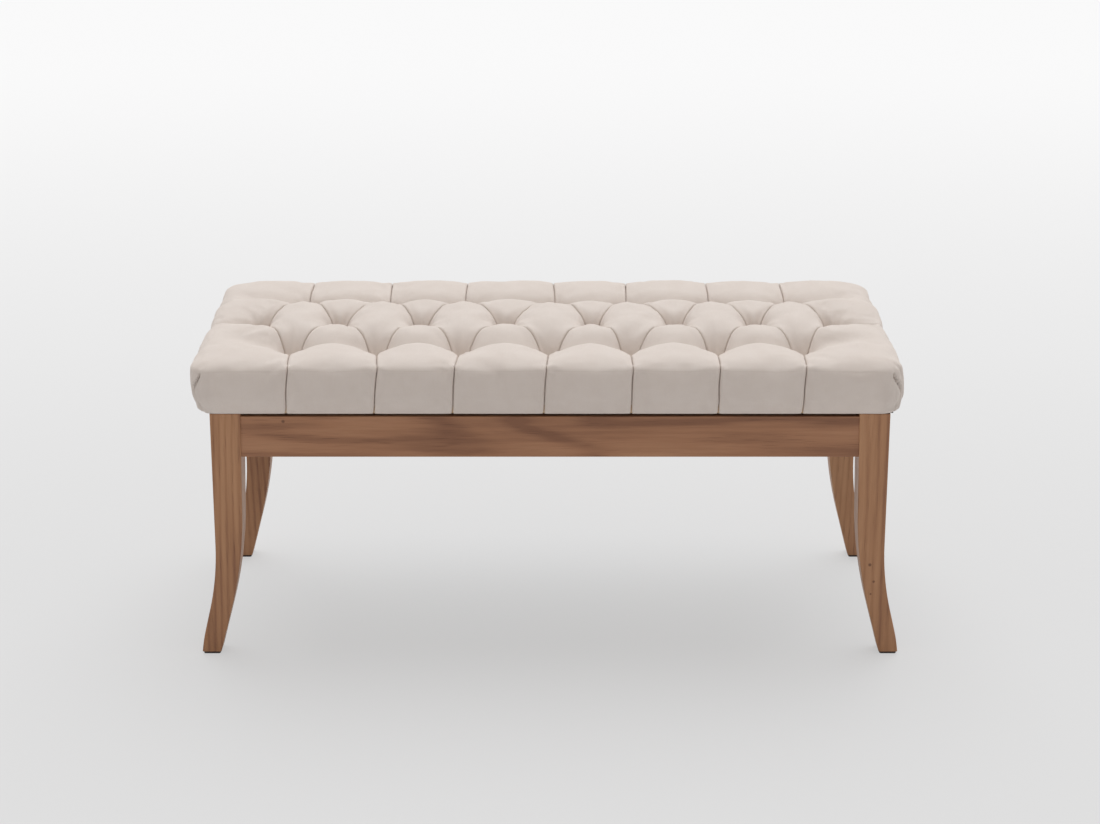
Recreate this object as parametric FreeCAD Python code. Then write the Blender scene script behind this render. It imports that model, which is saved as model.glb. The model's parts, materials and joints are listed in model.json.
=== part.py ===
import FreeCAD, Part
import math
import os
from FreeCAD import Vector

# Tufted bench on four sabre legs. Millimetres, +Z up, origin on the floor under the middle of the seat.
# The front is at -Y, and the long side lies along X.
# A corner of the bench is written in its own quarter: u is the distance from the middle along X, and
# v is the distance from the middle along Y. The other three corners are mirror images.

# Overall sizes: the cushion at its fullest, and the height of the legs that carry it
seat_half_length = 502.5
seat_half_depth = 199.5
leg_top = 379.7

# How far the cushion overhangs the faces of the legs
seat_overhang_length = 19.0
seat_overhang_depth = 12.5

# Sabre leg, seen from the front: its outer and inner lines at the bend and the foot, each measured
# outwards from the top of the outer line
leg_width_top = 43.9
leg_outer_bend_out = 3.8
leg_outer_bend_z = 123.0
leg_outer_ankle_out = 29.1
leg_outer_ankle_z = 22.0
leg_outer_foot_out = 31.8
leg_inner_bend_out = -36.1
leg_inner_bend_z = 150.0
leg_inner_foot_out = 4.5
leg_outer_bend_radius = 450.0
leg_outer_ankle_radius = 280.0
leg_inner_bend_radius = 650.0

# Sabre leg, seen from the end: its face is upright, and its back tapers
leg_depth_top = 42.0
leg_depth_foot = 30.0
leg_taper_below_top = 79.7
leg_edge_round = 1.5
leg_corner_flat = 10.0

# Rails
rail_below_top = 4.3
rail_height = 61.8
rail_thickness = 20.0
rail_setback = 2.0
rail_edge_round = 1.2

# Foot pads and their nails
pad_height = 4.0
pad_width = 24.6
pad_depth = 27.0
pad_corner_radius = 3.0
pad_edge_round = 0.8
nail_radius = 1.25
nail_length = 16.0
nail_head_radius = 3.5
nail_head_height = 1.0
nail_recess = 1.6

# Dowels, two in each joint
dowel_radius = 4.0
dowel_length = 44.0
dowel_spacing_z = 30.0
drill_clearance = 0.1
drill_extra_depth = 1.0

# Corner blocks, hanger bolts, washers and nuts
block_thickness = 28.0
block_height = 50.0
block_gap = 0.7
bolt_radius = 4.0
bolt_in_leg = 32.0
bolt_past_block = 14.0
washer_radius = 12.0
washer_thickness = 2.0
nut_across_flats = 13.0
nut_height = 6.5
bolt_hole_clearance = 0.5

# Screws of the corner blocks and of the seat
screw_radius = 2.0
screw_head_radius = 4.0
screw_head_height = 2.6
block_screw_length = 30.0
block_screw_from_end = 18.6
block_screw_sink = 3.6
seat_screw_tip_below_board_top = 2.5
seat_screw_offset = 22.0
seat_screw_counterbore = 14.0
screw_hole_clearance = 0.1
counterbore_clearance = 0.6

# Seat: layers from the bottom up
dust_cover_thickness = 0.6
cover_thickness = 1.5
board_thickness = 12.0
foam_clearance = 0.5

# Seat: its height above the legs at its fullest and at its top, and how its sides are drawn in and rounded
seat_full_height = 37.3
seat_height = 81.3
seat_drawn_in_length = 6.5
seat_drawn_in_depth = 10.0
seat_round_over = 50.0
seat_corner_radius = 30.0
board_corner_radius = 26.0
hem_width = 30.0
dust_cover_setback = 8.0

# Tufting: rows of pits, and the pleats between them
tuft_spacing_x = 122.0
tuft_spacing_y = 100.0
tuft_least_from_end = 60.0
pit_seat_height = 34.3
pit_mouth_radius = 34.0
pit_wall_radius = 60.0
crown_margin = 1.0
pleat_cap = 9.0
pleat_pit_half_width = 44.0
pleat_pit_depth = 30.0
diagonal_half_width = 50.0
diagonal_depth = 13.0
pleat_foot_height = 14.3

# Buttons, twine and anchors
button_radius = 10.0
button_rim_height = 2.5
button_height = 7.0
button_gap = 0.2
button_side_clearance = 1.0
twine_radius = 0.8
twine_in_button = 2.7
twine_hole_clearance = 0.1
twine_channel_radius = 3.0
anchor_radius = 9.0
anchor_thickness = 1.2
anchor_gap = 0.1

# Staples
staple_width = 10.0
staple_leg_length = 6.0
staple_wire = 0.7
staple_clearance = 0.1
staple_spacing = 60.0
cover_staple_inset = 20.0
dust_staple_inset = 14.0

# Places of the leg's lines
leg_outer_top_u = seat_half_length - seat_overhang_length
leg_outer_bend_u = leg_outer_top_u + leg_outer_bend_out
leg_outer_ankle_u = leg_outer_top_u + leg_outer_ankle_out
leg_outer_foot_u = leg_outer_top_u + leg_outer_foot_out
leg_inner_top_u = leg_outer_top_u - leg_width_top
leg_inner_bend_u = leg_outer_top_u + leg_inner_bend_out
leg_inner_foot_u = leg_outer_top_u + leg_inner_foot_out
leg_face_v = seat_half_depth - seat_overhang_depth

# Heights of the rails and of the seat's layers
rail_top = leg_top - rail_below_top
rail_z = rail_top - rail_height
rail_mid_z = rail_z + rail_height / 2
dust_cover_z = leg_top
cover_z = dust_cover_z + dust_cover_thickness
board_z = cover_z + cover_thickness
foam_z = board_z + board_thickness
seat_full_z = leg_top + seat_full_height
seat_top_z = leg_top + seat_height
seat_rise = seat_top_z - seat_full_z
pit_seat_z = leg_top + pit_seat_height
pit_seat_radius = button_radius + button_side_clearance
pleat_foot_z = leg_top + pleat_foot_height

# Half sizes of the seat at its underside, where the cover is drawn in under the board
base_half_u = seat_half_length - seat_drawn_in_length
base_half_v = seat_half_depth - seat_drawn_in_depth


def inner_leg_u(z):
    """Distance of the leg's inner line from the middle of the bench, above its bend."""
    slope = (leg_inner_bend_u - leg_inner_top_u) / (leg_top - leg_inner_bend_z)
    return leg_inner_top_u + slope * (leg_top - z)


joint_u = inner_leg_u(rail_mid_z)
leg_back_v = leg_face_v - leg_depth_top
rail_face_v = leg_face_v - rail_setback
rail_inside_v = rail_face_v - rail_thickness
end_rail_face_u = leg_outer_top_u - rail_setback
end_rail_inside_u = end_rail_face_u - rail_thickness


def box(low, high):
    """Box between two opposite corners."""
    size = [high[i] - low[i] for i in range(3)]
    return Part.makeBox(size[0], size[1], size[2], Vector(*low))


def rod(start, direction, radius, length):
    """Cylinder that begins at a point and runs along a direction."""
    return Part.makeCylinder(radius, length, Vector(*start), Vector(*direction))


def polygon_prism(points, rise):
    """Straight-sided outline raised along a vector."""
    wire = Part.makePolygon([Vector(*p) for p in points + points[:1]])
    return Part.Face(wire).extrude(Vector(*rise))


def all_corners(shape):
    """The same piece at the four corners: front right, front left, back right and back left."""
    back_right = shape.copy()
    front_right = shape.mirror(Vector(0, 0, 0), Vector(0, 1, 0))
    back_left = shape.mirror(Vector(0, 0, 0), Vector(1, 0, 0))
    front_left = front_right.mirror(Vector(0, 0, 0), Vector(1, 0, 0))
    return {"front_right": front_right, "front_left": front_left, "back_right": back_right, "back_left": back_left}


def save(node, solids):
    """Write one node's STEP file."""
    shape = solids[0] if len(solids) == 1 else Part.makeCompound(solids)
    shape.exportStep("parts/" + node + ".step")
    print(node, len(shape.Solids), "solids", round(shape.Volume / 1000.0, 2), "cm3", shape.isValid())


def softened(outline, radii):
    """Open line through points, with a tangent arc of the given radius at each inner point."""
    edges = []
    last = Vector(*outline[0])
    for i in range(1, len(outline) - 1):
        before = Vector(*outline[i - 1])
        corner = Vector(*outline[i])
        after = Vector(*outline[i + 1])
        arriving = (corner - before).normalize()
        leaving = (after - corner).normalize()
        turn = arriving.getAngle(leaving)
        reach = radii[i - 1] * math.tan(turn / 2)
        start = corner - arriving * reach
        end = corner + leaving * reach
        inward = (leaving - arriving).normalize()
        middle = corner + inward * (radii[i - 1] / math.cos(turn / 2) - radii[i - 1])
        edges.append(Part.LineSegment(last, start).toShape())
        edges.append(Part.Arc(start, middle, end).toShape())
        last = end
    edges.append(Part.LineSegment(last, Vector(*outline[-1])).toShape())
    return edges


def leg_blank():
    """Leg at the back right corner before it is drilled."""
    outer = [
        (leg_outer_top_u, 0, leg_top),
        (leg_outer_bend_u, 0, leg_outer_bend_z),
        (leg_outer_ankle_u, 0, leg_outer_ankle_z),
        (leg_outer_foot_u, 0, 0),
    ]
    inner = [
        (leg_inner_foot_u, 0, 0),
        (leg_inner_bend_u, 0, leg_inner_bend_z),
        (leg_inner_top_u, 0, leg_top),
    ]
    edges = softened(outer, [leg_outer_bend_radius, leg_outer_ankle_radius])
    edges.append(Part.LineSegment(Vector(*outer[-1]), Vector(*inner[0])).toShape())
    edges += softened(inner, [leg_inner_bend_radius])
    edges.append(Part.LineSegment(Vector(*inner[-1]), Vector(*outer[0])).toShape())
    front_view = Part.Face(Part.Wire(edges)).extrude(Vector(0, leg_face_v, 0))
    end_view = polygon_prism(
        [
            (0, leg_face_v, pad_height),
            (0, leg_face_v, leg_top),
            (0, leg_back_v, leg_top),
            (0, leg_back_v, leg_top - leg_taper_below_top),
            (0, leg_face_v - leg_depth_foot, pad_height),
        ],
        (leg_outer_foot_u + 1, 0, 0),
    )
    leg = front_view.common(end_view)
    long_edges = [e for e in leg.Edges if abs(e.BoundBox.YLength) < 0.01 and e.BoundBox.ZLength > 15.0]
    face_edges = [e for e in long_edges if abs(e.BoundBox.YMin - leg_face_v) < 0.01]
    leg = leg.makeFillet(leg_edge_round, face_edges)
    corner = [
        (joint_u - leg_corner_flat, leg_back_v - leg_corner_flat, rail_z),
        (joint_u + 2 * leg_corner_flat, leg_back_v - leg_corner_flat, rail_z),
        (joint_u - leg_corner_flat, leg_back_v + 2 * leg_corner_flat, rail_z),
    ]
    return leg.cut(polygon_prism(corner, (0, 0, leg_top)))


def end_of_rail_dowels():
    """Dowel lines in the back right corner: start point, direction, for the long rail and the end rail."""
    lines = []
    for side in (-1, 1):
        z = rail_mid_z + side * dowel_spacing_z / 2
        long_rail_v = rail_face_v - rail_thickness / 2
        end_rail_u = end_rail_face_u - rail_thickness / 2
        lines.append(((joint_u - dowel_length / 2, long_rail_v, z), (1, 0, 0)))
        lines.append(((end_rail_u, leg_back_v - dowel_length / 2, z), (0, 1, 0)))
    return lines


def dowels(radius, extra):
    """Dowels of the back right corner, or their holes when the radius and length are larger."""
    solids = []
    for start, direction in end_of_rail_dowels():
        first = [start[i] - direction[i] * extra for i in range(3)]
        solids.append(rod(first, direction, radius, dowel_length + 2 * extra))
    return solids


# The hanger bolt lies on the diagonal of the corner, square to the flat on the leg
diagonal = (math.sqrt(0.5), math.sqrt(0.5), 0)
flat_u = joint_u + leg_corner_flat / 2
flat_v = leg_back_v + leg_corner_flat / 2


def on_diagonal(distance, z=None):
    """Point on the hanger bolt's line, counted from the leg's flat towards the leg."""
    height = rail_mid_z if z is None else z
    return (flat_u + diagonal[0] * distance, flat_v + diagonal[1] * distance, height)


def corner_block():
    """Block across the back right corner, seated on the insides of both rails."""
    outer_sum = flat_u + flat_v - block_gap * math.sqrt(2)
    inner_sum = outer_sum - block_thickness * math.sqrt(2)
    z = leg_top - block_height
    outline = [
        (inner_sum - rail_inside_v, rail_inside_v, z),
        (end_rail_inside_u, inner_sum - end_rail_inside_u, z),
        (end_rail_inside_u, outer_sum - end_rail_inside_u, z),
        (outer_sum - rail_inside_v, rail_inside_v, z),
    ]
    return polygon_prism(outline, (0, 0, block_height)), inner_sum


def screw(start, direction, length, radius, head_radius, head_height):
    """Countersunk screw from the top of its head to its tip."""
    head = Part.makeCone(head_radius, radius, head_height, Vector(*start), Vector(*direction))
    neck = [start[i] + direction[i] * head_height for i in range(3)]
    shank_length = length - head_height - radius * 2
    shank = rod(neck, direction, radius, shank_length)
    tip_start = [neck[i] + direction[i] * shank_length for i in range(3)]
    tip = Part.makeCone(radius, radius * 0.2, radius * 2, Vector(*tip_start), Vector(*direction))
    return head.fuse([shank, tip]).removeSplitter()


def block_screw_places(inner_sum):
    """Head centres of the two screws that fix a corner block, one into each rail."""
    head_v = rail_inside_v - block_screw_from_end + block_screw_sink
    head_u = end_rail_inside_u - block_screw_from_end + block_screw_sink
    into_long_rail = (inner_sum - rail_inside_v + block_screw_from_end, head_v, rail_mid_z)
    into_end_rail = (head_u, inner_sum - end_rail_inside_u + block_screw_from_end, rail_mid_z)
    return [(into_long_rail, (0, 1, 0)), (into_end_rail, (1, 0, 0))]


def seat_screw_place():
    """Line of the seat screw, beside the hanger bolt and half way through the block."""
    middle = on_diagonal(-block_gap - block_thickness / 2)
    shift = seat_screw_offset * math.sqrt(0.5)
    return (middle[0] + shift, middle[1] - shift)


def corner_hardware():
    """Pieces and holes of the back right corner."""
    block, inner_sum = corner_block()
    block_face = -block_gap - block_thickness
    bolt_start = on_diagonal(block_face - bolt_past_block)
    bolt_length = bolt_past_block + block_thickness + block_gap + bolt_in_leg
    bolt = rod(bolt_start, diagonal, bolt_radius, bolt_length)
    block_hole_start = on_diagonal(block_face - 1)
    block_hole = rod(block_hole_start, diagonal, bolt_radius + bolt_hole_clearance, block_thickness + 2)
    leg_hole = rod(on_diagonal(-1), diagonal, bolt_radius + drill_clearance, bolt_in_leg + 1 + drill_extra_depth)
    washer_bore = bolt_radius + bolt_hole_clearance
    washer_start = on_diagonal(block_face - washer_thickness)
    washer = rod(washer_start, diagonal, washer_radius, washer_thickness)
    washer = washer.cut(rod(washer_start, diagonal, washer_bore, washer_thickness))
    nut_start = on_diagonal(block_face - washer_thickness - nut_height)
    nut = hex_nut(nut_start)
    screws = []
    block_cuts = [block_hole]
    rail_cuts = []
    for place, direction in block_screw_places(inner_sum):
        screws.append(screw(place, direction, block_screw_length, screw_radius, screw_head_radius, screw_head_height))
        hole = screw(
            place,
            direction,
            block_screw_length + drill_extra_depth,
            screw_radius + screw_hole_clearance,
            screw_head_radius + screw_hole_clearance,
            screw_head_height,
        )
        rail_cuts.append(hole)
        block_cuts.append(hole)
        back = [place[i] - direction[i] * 2 * block_screw_from_end for i in range(3)]
        sunk = screw_head_radius + counterbore_clearance
        block_cuts.append(rod(back, direction, sunk, 2 * block_screw_from_end))
    u, v = seat_screw_place()
    block_bottom = leg_top - block_height
    head_z = block_bottom + seat_screw_counterbore
    tip_z = foam_z - seat_screw_tip_below_board_top
    seat_screw = screw(
        (u, v, head_z), (0, 0, 1), tip_z - head_z, screw_radius, screw_head_radius, screw_head_height
    )
    seat_hole = screw(
        (u, v, head_z),
        (0, 0, 1),
        tip_z - head_z + drill_extra_depth,
        screw_radius + screw_hole_clearance,
        screw_head_radius + screw_hole_clearance,
        screw_head_height,
    )
    block_cuts.append(seat_hole)
    counterbore = screw_head_radius + counterbore_clearance
    block_cuts.append(rod((u, v, block_bottom), (0, 0, 1), counterbore, seat_screw_counterbore))
    return {
        "block": block.cut(block_cuts),
        "bolt": bolt,
        "washer": washer,
        "nut": nut,
        "block_screws": screws,
        "seat_screw": seat_screw,
        "leg_cuts": [leg_hole],
        "rail_cuts": rail_cuts,
        "seat_hole": seat_hole,
    }


def hex_nut(start):
    """Hexagonal nut on the hanger bolt."""
    nut_radius = nut_across_flats / math.sqrt(3)
    across = Vector(-diagonal[1], diagonal[0], 0)
    points = []
    for i in range(6):
        angle = math.radians(60 * i)
        point = Vector(*start) + across * (nut_radius * math.cos(angle))
        points.append(point + Vector(0, 0, nut_radius * math.sin(angle)))
    wire = Part.makePolygon(points + points[:1])
    nut = Part.Face(wire).extrude(Vector(*diagonal) * nut_height)
    return nut.cut(rod(start, diagonal, bolt_radius + drill_clearance, nut_height))


def long_rail(cuts):
    """Back rail. Its ends follow the slant of the legs."""
    low_u = inner_leg_u(rail_z)
    high_u = inner_leg_u(rail_top)
    outline = [
        (-low_u, rail_inside_v, rail_z),
        (low_u, rail_inside_v, rail_z),
        (high_u, rail_inside_v, rail_top),
        (-high_u, rail_inside_v, rail_top),
    ]
    rail = polygon_prism(outline, (0, rail_thickness, 0))
    long_edges = [e for e in rail.Edges if e.BoundBox.XLength > high_u]
    return rail.makeFillet(rail_edge_round, long_edges).cut(cuts)


def end_rail(cuts):
    """Right rail, between the two right legs."""
    rail = box(
        (end_rail_inside_u, -leg_back_v, rail_z),
        (end_rail_face_u, leg_back_v, rail_top),
    )
    long_edges = [e for e in rail.Edges if e.BoundBox.YLength > leg_back_v]
    return rail.makeFillet(rail_edge_round, long_edges).cut(cuts)


def foot_centre():
    """Middle of the leg's foot, where the pad and its nail sit."""
    slope_outer = (leg_outer_foot_u - leg_outer_ankle_u) / leg_outer_ankle_z
    slope_inner = (leg_inner_foot_u - leg_inner_bend_u) / leg_inner_bend_z
    outer = leg_outer_foot_u - slope_outer * pad_height
    inner = leg_inner_foot_u - slope_inner * pad_height
    return ((outer + inner) / 2, leg_face_v - leg_depth_foot / 2)


def foot_pad():
    """Pad of the back right foot, recessed below for the nail's head."""
    u, v = foot_centre()
    half_u = pad_width / 2
    half_v = pad_depth / 2
    pad = box((u - half_u, v - half_v, 0), (u + half_u, v + half_v, pad_height))
    upright = [e for e in pad.Edges if e.BoundBox.ZLength > pad_height / 2]
    pad = pad.makeFillet(pad_corner_radius, upright)
    rim = [e for e in pad.Edges if e.BoundBox.ZMax < 0.01]
    pad = pad.makeFillet(pad_edge_round, rim)
    head_hole = rod((u, v, 0), (0, 0, 1), nail_head_radius + drill_clearance, nail_recess + nail_head_height)
    shank_hole = rod((u, v, 0), (0, 0, 1), nail_radius + drill_clearance, pad_height)
    return pad.cut([head_hole, shank_hole])


def foot_nail():
    """Nail of the back right pad, driven up into the leg."""
    u, v = foot_centre()
    head = rod((u, v, nail_recess), (0, 0, 1), nail_head_radius, nail_head_height)
    shank = rod((u, v, nail_recess), (0, 0, 1), nail_radius, nail_length)
    return head.fuse(shank).removeSplitter()


def foot_nail_hole():
    """Hole for the nail in the leg."""
    u, v = foot_centre()
    return rod((u, v, 0), (0, 0, 1), nail_radius + drill_clearance, nail_recess + nail_length + drill_extra_depth)


def rounded_section(half_u, half_v, radius, z):
    """Rounded rectangle at one height, as lines and quarter arcs."""
    straight_u = half_u - radius
    straight_v = half_v - radius
    edges = []
    for quarter in range(4):
        turn = math.radians(90 * quarter)
        sign_u = 1 if quarter in (0, 3) else -1
        sign_v = 1 if quarter in (0, 1) else -1
        centre = Vector(sign_u * straight_u, sign_v * straight_v, z)
        points = []
        for step in (0, 45, 90):
            angle = turn + math.radians(step)
            points.append(centre + Vector(math.cos(angle), math.sin(angle), 0) * radius)
        edges.append(Part.Arc(*points).toShape())
        next_u = -sign_u if quarter in (0, 2) else sign_u
        next_v = -sign_v if quarter in (1, 3) else sign_v
        next_centre = Vector(next_u * straight_u, next_v * straight_v, z)
        next_turn = turn + math.radians(90)
        next_start = next_centre + Vector(math.cos(next_turn), math.sin(next_turn), 0) * radius
        edges.append(Part.LineSegment(points[2], next_start).toShape())
    return Part.Wire(edges)


def cushion_block(inset, bottom_z):
    """Crowned block with drawn-in, rounded-over sides, smaller by the inset on every side but the bottom."""
    sections = []
    draw_height = seat_full_z - cover_z
    for z in (bottom_z, (bottom_z + seat_full_z) / 2, seat_full_z):
        share = ((seat_full_z - z) / draw_height) ** 2
        half_u = seat_half_length - seat_drawn_in_length * share - inset
        half_v = seat_half_depth - seat_drawn_in_depth * share - inset
        sections.append(rounded_section(half_u, half_v, seat_corner_radius - inset, z))
    reach = seat_round_over - inset
    rise = seat_rise - inset
    for degrees in (25, 50, 70, 90):
        angle = math.radians(degrees)
        half_u = seat_half_length - seat_round_over + reach * math.cos(angle)
        half_v = seat_half_depth - seat_round_over + reach * math.cos(angle)
        z = seat_full_z + rise * math.sin(angle)
        sections.append(rounded_section(half_u, half_v, seat_corner_radius - inset, z))
    return Part.makeLoft(sections, True, False)


def pleat_section(foot, side, outward, half_width, depth, inset):
    """Cross-section of the space above a pleat, between the swells of two puffs.

    foot is the point on the surface over the pleat, side points across the pleat, and outward points
    away from the cushion. The two swells are arcs that meet at the bottom of the pleat.
    """
    swell = (half_width**2 + depth**2) / (2 * depth)
    centre_level = crown_margin - swell
    radius = swell - inset
    bottom = centre_level + math.sqrt(radius**2 - half_width**2)
    half_turn = math.asin(half_width / radius) / 2
    middle_across = half_width - radius * math.sin(half_turn)
    middle_level = centre_level + radius * math.cos(half_turn)
    crown_level = centre_level + radius

    def point(across, level):
        return foot + side * across + outward * level

    left_crown = point(-half_width, crown_level)
    right_crown = point(half_width, crown_level)
    valley = point(0, bottom)
    return Part.Wire(
        [
            Part.Arc(left_crown, point(-middle_across, middle_level), valley).toShape(),
            Part.Arc(valley, point(middle_across, middle_level), right_crown).toShape(),
            Part.LineSegment(right_crown, point(half_width, pleat_cap)).toShape(),
            Part.LineSegment(point(half_width, pleat_cap), point(-half_width, pleat_cap)).toShape(),
            Part.LineSegment(point(-half_width, pleat_cap), left_crown).toShape(),
        ]
    )


def diagonal_pleat(first, second, inset):
    """Space over the pleat between two pits: deep at the pits and shallow half way."""
    start = Vector(first[0], first[1], seat_top_z)
    end = Vector(second[0], second[1], seat_top_z)
    along = (end - start).normalize()
    up = Vector(0, 0, 1)
    side = up.cross(along)
    middle = (start + end) * 0.5
    return Part.makeLoft(
        [
            pleat_section(start, side, up, pleat_pit_half_width, pleat_pit_depth, inset),
            pleat_section(middle, side, up, diagonal_half_width, diagonal_depth, inset),
            pleat_section(end, side, up, pleat_pit_half_width, pleat_pit_depth, inset),
        ],
        True,
        False,
    )


# A pleat from a pit over the edge of the seat: turn round the edge, half width and depth at each section
edge_pleat_rounds = ((90, 48.0, 13.0), (62, 42.0, 9.0), (32, 34.0, 6.5), (0, 28.0, 4.5))
edge_pleat_foot_half_width = 22.0
edge_pleat_foot_depth = 1.5


def edge_pleat(pit, outward, edge_distance, drawn_in, inset):
    """Space over the pleat from a pit, over the rounded edge and down the side of the seat."""
    up = Vector(0, 0, 1)
    side = up.cross(outward)
    start = Vector(pit[0], pit[1], seat_top_z)
    sections = [pleat_section(start, side, up, pleat_pit_half_width, pleat_pit_depth, inset)]
    pit_distance = start.x * outward.x + start.y * outward.y
    centre = Vector(pit[0], pit[1], seat_full_z) + outward * (edge_distance - seat_round_over - pit_distance)
    for degrees, half_width, depth in edge_pleat_rounds:
        angle = math.radians(degrees)
        flat = math.cos(angle) / seat_round_over
        tall = math.sin(angle) / seat_rise
        ray = outward * math.cos(angle) + up * math.sin(angle)
        foot = centre + ray * (1 / math.hypot(flat, tall))
        sections.append(pleat_section(foot, side, ray, half_width, depth, inset))
    drop = (seat_full_z - pleat_foot_z) / (seat_full_z - cover_z)
    low = centre + outward * (seat_round_over - drawn_in * drop**2)
    low.z = pleat_foot_z
    sections.append(
        pleat_section(low, side, outward, edge_pleat_foot_half_width, edge_pleat_foot_depth, inset)
    )
    return Part.makeLoft(sections, True, False)


def pit_wall_centre():
    """Centre of the arc that makes a pit's wall, as distance from the pit's axis and height."""
    chord_r = pit_mouth_radius - pit_seat_radius
    chord_z = seat_top_z - pit_seat_z
    chord = math.hypot(chord_r, chord_z)
    reach = math.sqrt(pit_wall_radius**2 - (chord / 2) ** 2)
    middle_r = (pit_mouth_radius + pit_seat_radius) / 2
    middle_z = (seat_top_z + pit_seat_z) / 2
    return middle_r + reach * chord_z / chord, middle_z - reach * chord_r / chord


def pit(place, inset):
    """Space of a pit, which widens upwards like a trumpet."""
    centre_r, centre_z = pit_wall_centre()
    radius = pit_wall_radius - inset
    heights = [pit_seat_z - inset, (pit_seat_z + seat_top_z) / 2, seat_top_z + crown_margin]
    wall = [Vector(centre_r - math.sqrt(radius**2 - (z - centre_z) ** 2), 0, z) for z in heights]
    bottom = Vector(0, 0, heights[0])
    top = Vector(0, 0, heights[2])
    outline = Part.Wire(
        [
            Part.LineSegment(bottom, wall[0]).toShape(),
            Part.Arc(*wall).toShape(),
            Part.LineSegment(wall[2], top).toShape(),
            Part.LineSegment(top, bottom).toShape(),
        ]
    )
    space = Part.Face(outline).revolve(Vector(0, 0, 0), Vector(0, 0, 1), 360)
    space.translate(Vector(place[0], place[1], 0))
    return space


def row_places(count, y):
    """Pits of one row, centred on the seat."""
    first = -(count - 1) * tuft_spacing_x / 2
    return [(first + i * tuft_spacing_x, y) for i in range(count)]


# The middle row has as many tufts as the length takes, and the outer rows lie between them
middle_count = int(2 * (seat_half_length - tuft_least_from_end) / tuft_spacing_x) + 1
front_row = row_places(middle_count - 1, -tuft_spacing_y)
middle_row = row_places(middle_count, 0.0)
back_row = row_places(middle_count - 1, tuft_spacing_y)


def cushion_form(inset, bottom_z):
    """Tufted cushion. A quarter is cut and then mirrored, because the tufting is even on both sides."""
    quarter = cushion_block(inset, bottom_z)
    far = 2 * seat_half_length
    quarter = quarter.common(box((0, 0, 0), (far, far, far)))
    half_pitch = tuft_spacing_x / 2 + 1
    outer_pits = [p for p in back_row if p[0] > -1]
    middle_pits = [p for p in middle_row if p[0] > -1]
    for place in outer_pits:
        pleat = edge_pleat(place, Vector(0, 1, 0), seat_half_depth, seat_drawn_in_depth, inset)
        quarter = quarter.cut(pleat)
    pleat = edge_pleat(middle_pits[-1], Vector(1, 0, 0), seat_half_length, seat_drawn_in_length, inset)
    quarter = quarter.cut(pleat)
    for outer in outer_pits:
        for middle in middle_pits:
            if abs(outer[0] - middle[0]) < half_pitch:
                quarter = quarter.cut(diagonal_pleat(outer, middle, inset))
    for place in outer_pits + middle_pits:
        quarter = quarter.cut(pit(place, inset))
    return quarter


def whole(quarter):
    """Four mirrored quarters as one solid."""
    half = quarter.fuse(quarter.mirror(Vector(0, 0, 0), Vector(1, 0, 0)))
    full = half.fuse(half.mirror(Vector(0, 0, 0), Vector(0, 1, 0)))
    return full.removeSplitter()


def button(place):
    """Covered button: a short rim and a low dome, with a socket below for the twine."""
    low = pit_seat_z + button_gap
    rim = Vector(button_radius, 0, low + button_rim_height)
    crown = Vector(0, 0, low + button_height)
    dome_rise = button_height - button_rim_height
    dome_radius = (button_radius**2 + dome_rise**2) / (2 * dome_rise)
    half_turn = math.asin(button_radius / dome_radius) / 2
    shoulder_z = crown.z - dome_radius + dome_radius * math.cos(half_turn)
    shoulder = Vector(dome_radius * math.sin(half_turn), 0, shoulder_z)
    outline = Part.Wire(
        [
            Part.LineSegment(Vector(0, 0, low), Vector(button_radius, 0, low)).toShape(),
            Part.LineSegment(Vector(button_radius, 0, low), rim).toShape(),
            Part.Arc(rim, shoulder, crown).toShape(),
            Part.LineSegment(crown, Vector(0, 0, low)).toShape(),
        ]
    )
    solid = Part.Face(outline).revolve(Vector(0, 0, 0), Vector(0, 0, 1), 360)
    solid.translate(Vector(place[0], place[1], 0))
    socket_depth = twine_in_button + drill_extra_depth
    socket_radius = twine_radius + twine_hole_clearance
    return solid.cut(rod((place[0], place[1], low), (0, 0, 1), socket_radius, socket_depth))


def twine(place):
    """Straight tight twine from the button's socket down to the anchor under the board."""
    bottom = board_z - anchor_gap - anchor_thickness
    top = pit_seat_z + button_gap + twine_in_button
    return rod((place[0], place[1], bottom), (0, 0, 1), twine_radius, top - bottom)


def anchor(place):
    """Washer under the board that the twine is tied to."""
    bottom = (place[0], place[1], board_z - anchor_gap - anchor_thickness)
    disc = rod(bottom, (0, 0, 1), anchor_radius, anchor_thickness)
    return disc.cut(rod(bottom, (0, 0, 1), twine_radius + twine_hole_clearance, anchor_thickness))


def twine_channels(radius, low_z, high_z, places):
    """Holes for the twine between two heights."""
    return [rod((p[0], p[1], low_z), (0, 0, 1), radius, high_z - low_z) for p in places]


def staple(x, y, along_x, crown_z, grow):
    """Staple with its crown below and its two legs driven up, or its slot when grown."""
    half_width = staple_width / 2 + grow
    half_wire = staple_wire / 2 + grow
    span = (half_width, half_wire) if along_x else (half_wire, half_width)
    crown = box((x - span[0], y - span[1], crown_z), (x + span[0], y + span[1], crown_z + staple_wire + grow))
    solid = crown
    for end in (-1, 1):
        shift = end * (staple_width - staple_wire) / 2
        leg_x = x + shift if along_x else x
        leg_y = y if along_x else y + shift
        top = crown_z + staple_leg_length + grow
        leg = box((leg_x - half_wire, leg_y - half_wire, crown_z), (leg_x + half_wire, leg_y + half_wire, top))
        solid = solid.fuse(leg)
    return solid.removeSplitter()


def staple_places(inset):
    """Places round the underside of the seat, at one distance from its edge: x, y and direction."""
    half_u = base_half_u - inset
    half_v = base_half_v - inset
    places = []
    for half_run, offset, along_x in ((half_u, half_v, True), (half_v, half_u, False)):
        count = int((2 * half_run - staple_spacing) // staple_spacing) + 1
        for i in range(count):
            along = (i - (count - 1) / 2) * staple_spacing
            for side in (-1, 1):
                place = (along, side * offset) if along_x else (side * offset, along)
                places.append((place[0], place[1], along_x))
    return places


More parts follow.
